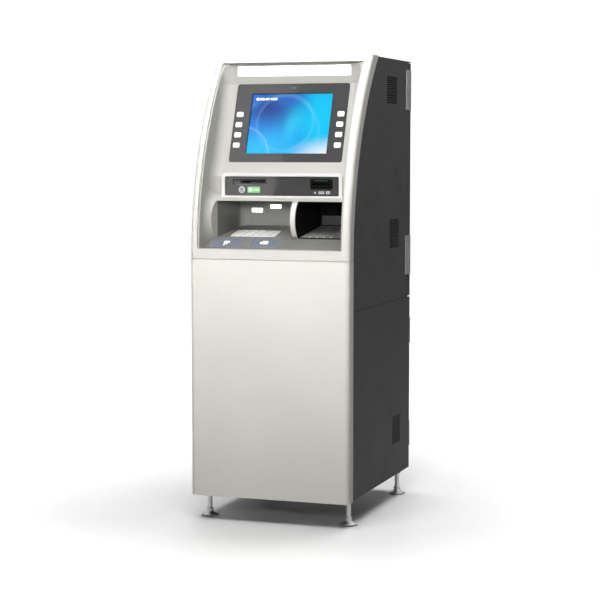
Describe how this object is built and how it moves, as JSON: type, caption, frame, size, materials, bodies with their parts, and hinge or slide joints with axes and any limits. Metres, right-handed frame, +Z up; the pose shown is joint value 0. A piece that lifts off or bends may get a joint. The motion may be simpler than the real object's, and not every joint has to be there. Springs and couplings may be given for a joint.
{
  "type": "automated teller machine",
  "caption": "Free-standing lobby cash machine with a curved fascia, screen, keypad, card, receipt and cash slots, a rear-opening safe and levelling feet.",
  "frame": {"origin": "on the floor, at the centre of the overall bounding box", "axes": "+Z up, the customer stands at -Y, the service doors are at +Y, +X is the customer's right"},
  "size_m": [0.58, 0.78, 1.627],
  "materials": {
    "cream_steel": "satin powder coat",
    "cream_plastic": "satin painted plastic",
    "dark_steel": "fine textured powder coat",
    "grey_plastic": "satin moulded plastic",
    "lamp_white": "lit opal diffuser",
    "black_gloss": "gloss",
    "screen": "lit display",
    "key_white": "satin",
    "key_steel": "fine brushed",
    "black_plastic": "satin",
    "dark_plastic": "satin",
    "paper": "wound paper",
    "chrome": "bright plated",
    "zinc_steel": "zinc plated",
    "hinge_grey": "satin",
    "safe_paint": "hammered paint"
  },
  "bodies": {
    "cabinet": {"base_plate": "dark_steel", "card_reader": "black_plastic", "cash_dispenser": "zinc_steel", "cash_liner": "black_plastic", "control_computer": "dark_plastic", "display_panel": "screen", "fascia_frame": "cream_plastic", "fascia_moulding": "grey_plastic", "foot_nuts": "zinc_steel", "front_panel": "cream_steel", "hinge_leaves_fixed": "hinge_grey", "keypad_housing": "key_steel", "lamp_diffusers": "lamp_white", "lower_side_left": "dark_steel", "lower_side_right": "dark_steel", "note_cassettes": "dark_plastic", "receipt_printer": "dark_plastic", "roof_panel": "dark_steel", "safe_shell": "safe_paint", "screen_bezel": "black_gloss", "strip_panel": "black_gloss", "upper_side_left": "dark_steel", "upper_side_right": "dark_steel"},
    "foot_front_left": {"foot_front_left": "chrome"},
    "foot_front_right": {"foot_front_right": "chrome"},
    "foot_rear_left": {"foot_rear_left": "chrome"},
    "foot_rear_right": {"foot_rear_right": "chrome"},
    "function_key_1": {"function_key_1": "key_white"},
    "function_key_2": {"function_key_2": "key_white"},
    "function_key_3": {"function_key_3": "key_white"},
    "function_key_4": {"function_key_4": "key_white"},
    "function_key_5": {"function_key_5": "key_white"},
    "function_key_6": {"function_key_6": "key_white"},
    "function_key_7": {"function_key_7": "key_white"},
    "function_key_8": {"function_key_8": "key_white"},
    "key_0": {"key_0": "key_steel"},
    "key_1": {"key_1": "key_steel"},
    "key_2": {"key_2": "key_steel"},
    "key_3": {"key_3": "key_steel"},
    "key_4": {"key_4": "key_steel"},
    "key_5": {"key_5": "key_steel"},
    "key_6": {"key_6": "key_steel"},
    "key_7": {"key_7": "key_steel"},
    "key_8": {"key_8": "key_steel"},
    "key_9": {"key_9": "key_steel"},
    "key_cancel": {"key_cancel": "key_steel"},
    "key_clear": {"key_clear": "key_steel"},
    "key_enter": {"key_enter": "key_steel"},
    "key_left_blank": {"key_left_blank": "key_steel"},
    "key_lower_blank": {"key_lower_blank": "key_steel"},
    "key_right_blank": {"key_right_blank": "key_steel"},
    "cash_shutter": {"cash_shutter": "dark_plastic"},
    "paper_roll": {"paper_roll": "paper"},
    "safe_door": {"safe_door": "safe_paint"},
    "lock_bolts": {"lock_bolts": "zinc_steel"},
    "safe_handle": {"safe_handle": "zinc_steel"},
    "combination_dial": {"combination_dial": "zinc_steel"},
    "service_latch": {"service_latch": "black_plastic"},
    "service_door": {"service_door": "dark_steel", "hinge_leaves_door": "hinge_grey"}
  },
  "joints": [
    {"name": "foot_front_left_turn", "type": "hinge", "parent": "cabinet", "child": "foot_front_left", "pos_m": [-0.259, -0.29, 0.06], "axis": [0, 0, 1], "continuous": true},
    {"name": "foot_rear_left_turn", "type": "hinge", "parent": "cabinet", "child": "foot_rear_left", "pos_m": [-0.259, 0.31, 0.06], "axis": [0, 0, 1], "continuous": true},
    {"name": "foot_front_right_turn", "type": "hinge", "parent": "cabinet", "child": "foot_front_right", "pos_m": [0.259, -0.29, 0.06], "axis": [0, 0, 1], "continuous": true},
    {"name": "foot_rear_right_turn", "type": "hinge", "parent": "cabinet", "child": "foot_rear_right", "pos_m": [0.259, 0.31, 0.06], "axis": [0, 0, 1], "continuous": true},
    {"name": "function_key_1_press", "type": "slide", "parent": "cabinet", "child": "function_key_1", "axis": [0, 0.9416, -0.3368], "range_m": [0, 0.002], "stiffness_N_per_m": 400, "springref_m": -0.001},
    {"name": "function_key_2_press", "type": "slide", "parent": "cabinet", "child": "function_key_2", "axis": [0, 0.9416, -0.3368], "range_m": [0, 0.002], "stiffness_N_per_m": 400, "springref_m": -0.001},
    {"name": "function_key_3_press", "type": "slide", "parent": "cabinet", "child": "function_key_3", "axis": [0, 0.9416, -0.3368], "range_m": [0, 0.002], "stiffness_N_per_m": 400, "springref_m": -0.001},
    {"name": "function_key_4_press", "type": "slide", "parent": "cabinet", "child": "function_key_4", "axis": [0, 0.9416, -0.3368], "range_m": [0, 0.002], "stiffness_N_per_m": 400, "springref_m": -0.001},
    {"name": "function_key_5_press", "type": "slide", "parent": "cabinet", "child": "function_key_5", "axis": [0, 0.9416, -0.3368], "range_m": [0, 0.002], "stiffness_N_per_m": 400, "springref_m": -0.001},
    {"name": "function_key_6_press", "type": "slide", "parent": "cabinet", "child": "function_key_6", "axis": [0, 0.9416, -0.3368], "range_m": [0, 0.002], "stiffness_N_per_m": 400, "springref_m": -0.001},
    {"name": "function_key_7_press", "type": "slide", "parent": "cabinet", "child": "function_key_7", "axis": [0, 0.9416, -0.3368], "range_m": [0, 0.002], "stiffness_N_per_m": 400, "springref_m": -0.001},
    {"name": "function_key_8_press", "type": "slide", "parent": "cabinet", "child": "function_key_8", "axis": [0, 0.9416, -0.3368], "range_m": [0, 0.002], "stiffness_N_per_m": 400, "springref_m": -0.001},
    {"name": "key_0_press", "type": "slide", "parent": "cabinet", "child": "key_0", "axis": [0, 0.225, -0.9744], "range_m": [0, 0.002], "stiffness_N_per_m": 400, "springref_m": -0.001},
    {"name": "key_1_press", "type": "slide", "parent": "cabinet", "child": "key_1", "axis": [0, 0.225, -0.9744], "range_m": [0, 0.002], "stiffness_N_per_m": 400, "springref_m": -0.001},
    {"name": "key_2_press", "type": "slide", "parent": "cabinet", "child": "key_2", "axis": [0, 0.225, -0.9744], "range_m": [0, 0.002], "stiffness_N_per_m": 400, "springref_m": -0.001},
    {"name": "key_3_press", "type": "slide", "parent": "cabinet", "child": "key_3", "axis": [0, 0.225, -0.9744], "range_m": [0, 0.002], "stiffness_N_per_m": 400, "springref_m": -0.001},
    {"name": "key_4_press", "type": "slide", "parent": "cabinet", "child": "key_4", "axis": [0, 0.225, -0.9744], "range_m": [0, 0.002], "stiffness_N_per_m": 400, "springref_m": -0.001},
    {"name": "key_5_press", "type": "slide", "parent": "cabinet", "child": "key_5", "axis": [0, 0.225, -0.9744], "range_m": [0, 0.002], "stiffness_N_per_m": 400, "springref_m": -0.001},
    {"name": "key_6_press", "type": "slide", "parent": "cabinet", "child": "key_6", "axis": [0, 0.225, -0.9744], "range_m": [0, 0.002], "stiffness_N_per_m": 400, "springref_m": -0.001},
    {"name": "key_7_press", "type": "slide", "parent": "cabinet", "child": "key_7", "axis": [0, 0.225, -0.9744], "range_m": [0, 0.002], "stiffness_N_per_m": 400, "springref_m": -0.001},
    {"name": "key_8_press", "type": "slide", "parent": "cabinet", "child": "key_8", "axis": [0, 0.225, -0.9744], "range_m": [0, 0.002], "stiffness_N_per_m": 400, "springref_m": -0.001},
    {"name": "key_9_press", "type": "slide", "parent": "cabinet", "child": "key_9", "axis": [0, 0.225, -0.9744], "range_m": [0, 0.002], "stiffness_N_per_m": 400, "springref_m": -0.001},
    {"name": "key_cancel_press", "type": "slide", "parent": "cabinet", "child": "key_cancel", "axis": [0, 0.225, -0.9744], "range_m": [0, 0.002], "stiffness_N_per_m": 400, "springref_m": -0.001},
    {"name": "key_clear_press", "type": "slide", "parent": "cabinet", "child": "key_clear", "axis": [0, 0.225, -0.9744], "range_m": [0, 0.002], "stiffness_N_per_m": 400, "springref_m": -0.001},
    {"name": "key_enter_press", "type": "slide", "parent": "cabinet", "child": "key_enter", "axis": [0, 0.225, -0.9744], "range_m": [0, 0.002], "stiffness_N_per_m": 400, "springref_m": -0.001},
    {"name": "key_left_blank_press", "type": "slide", "parent": "cabinet", "child": "key_left_blank", "axis": [0, 0.225, -0.9744], "range_m": [0, 0.002], "stiffness_N_per_m": 400, "springref_m": -0.001},
    {"name": "key_lower_blank_press", "type": "slide", "parent": "cabinet", "child": "key_lower_blank", "axis": [0, 0.225, -0.9744], "range_m": [0, 0.002], "stiffness_N_per_m": 400, "springref_m": -0.001},
    {"name": "key_right_blank_press", "type": "slide", "parent": "cabinet", "child": "key_right_blank", "axis": [0, 0.225, -0.9744], "range_m": [0, 0.002], "stiffness_N_per_m": 400, "springref_m": -0.001},
    {"name": "cash_shutter_rise", "type": "slide", "parent": "cabinet", "child": "cash_shutter", "axis": [0, 0, 1], "range_m": [0, 0.032]},
    {"name": "paper_roll_turn", "type": "hinge", "parent": "cabinet", "child": "paper_roll", "pos_m": [-0.1195, -0.108, 1.195], "axis": [1, 0, 0], "continuous": true},
    {"name": "safe_door_swing", "type": "hinge", "parent": "cabinet", "child": "safe_door", "pos_m": [0.278, 0.3805, 0.43], "axis": [0, 0, -1], "range_deg": [0, 100]},
    {"name": "safe_handle_turn", "type": "hinge", "parent": "safe_door", "child": "safe_handle", "pos_m": [-0.06, 0.36, 0.43], "axis": [0, -1, 0], "range_deg": [0, 90]},
    {"name": "lock_bolts_throw", "type": "slide", "parent": "safe_door", "child": "lock_bolts", "axis": [-1, 0, 0], "range_m": [0, 0.025]},
    {"name": "combination_dial_turn", "type": "hinge", "parent": "safe_door", "child": "combination_dial", "pos_m": [0.04, 0.36, 0.5], "axis": [0, 1, 0], "continuous": true},
    {"name": "service_door_swing", "type": "hinge", "parent": "cabinet", "child": "service_door", "pos_m": [0.286, 0.345, 1.184], "axis": [0, 0, -1], "range_deg": [0, 110]},
    {"name": "service_latch_turn", "type": "hinge", "parent": "service_door", "child": "service_latch", "pos_m": [-0.25, 0.36, 1.184], "axis": [0, 1, 0], "range_deg": [0, 90]}
  ],
  "couplings": [
    {"joint": "lock_bolts_throw", "follows": "safe_handle_turn", "m_per_rad": 0.015915}
  ]
}
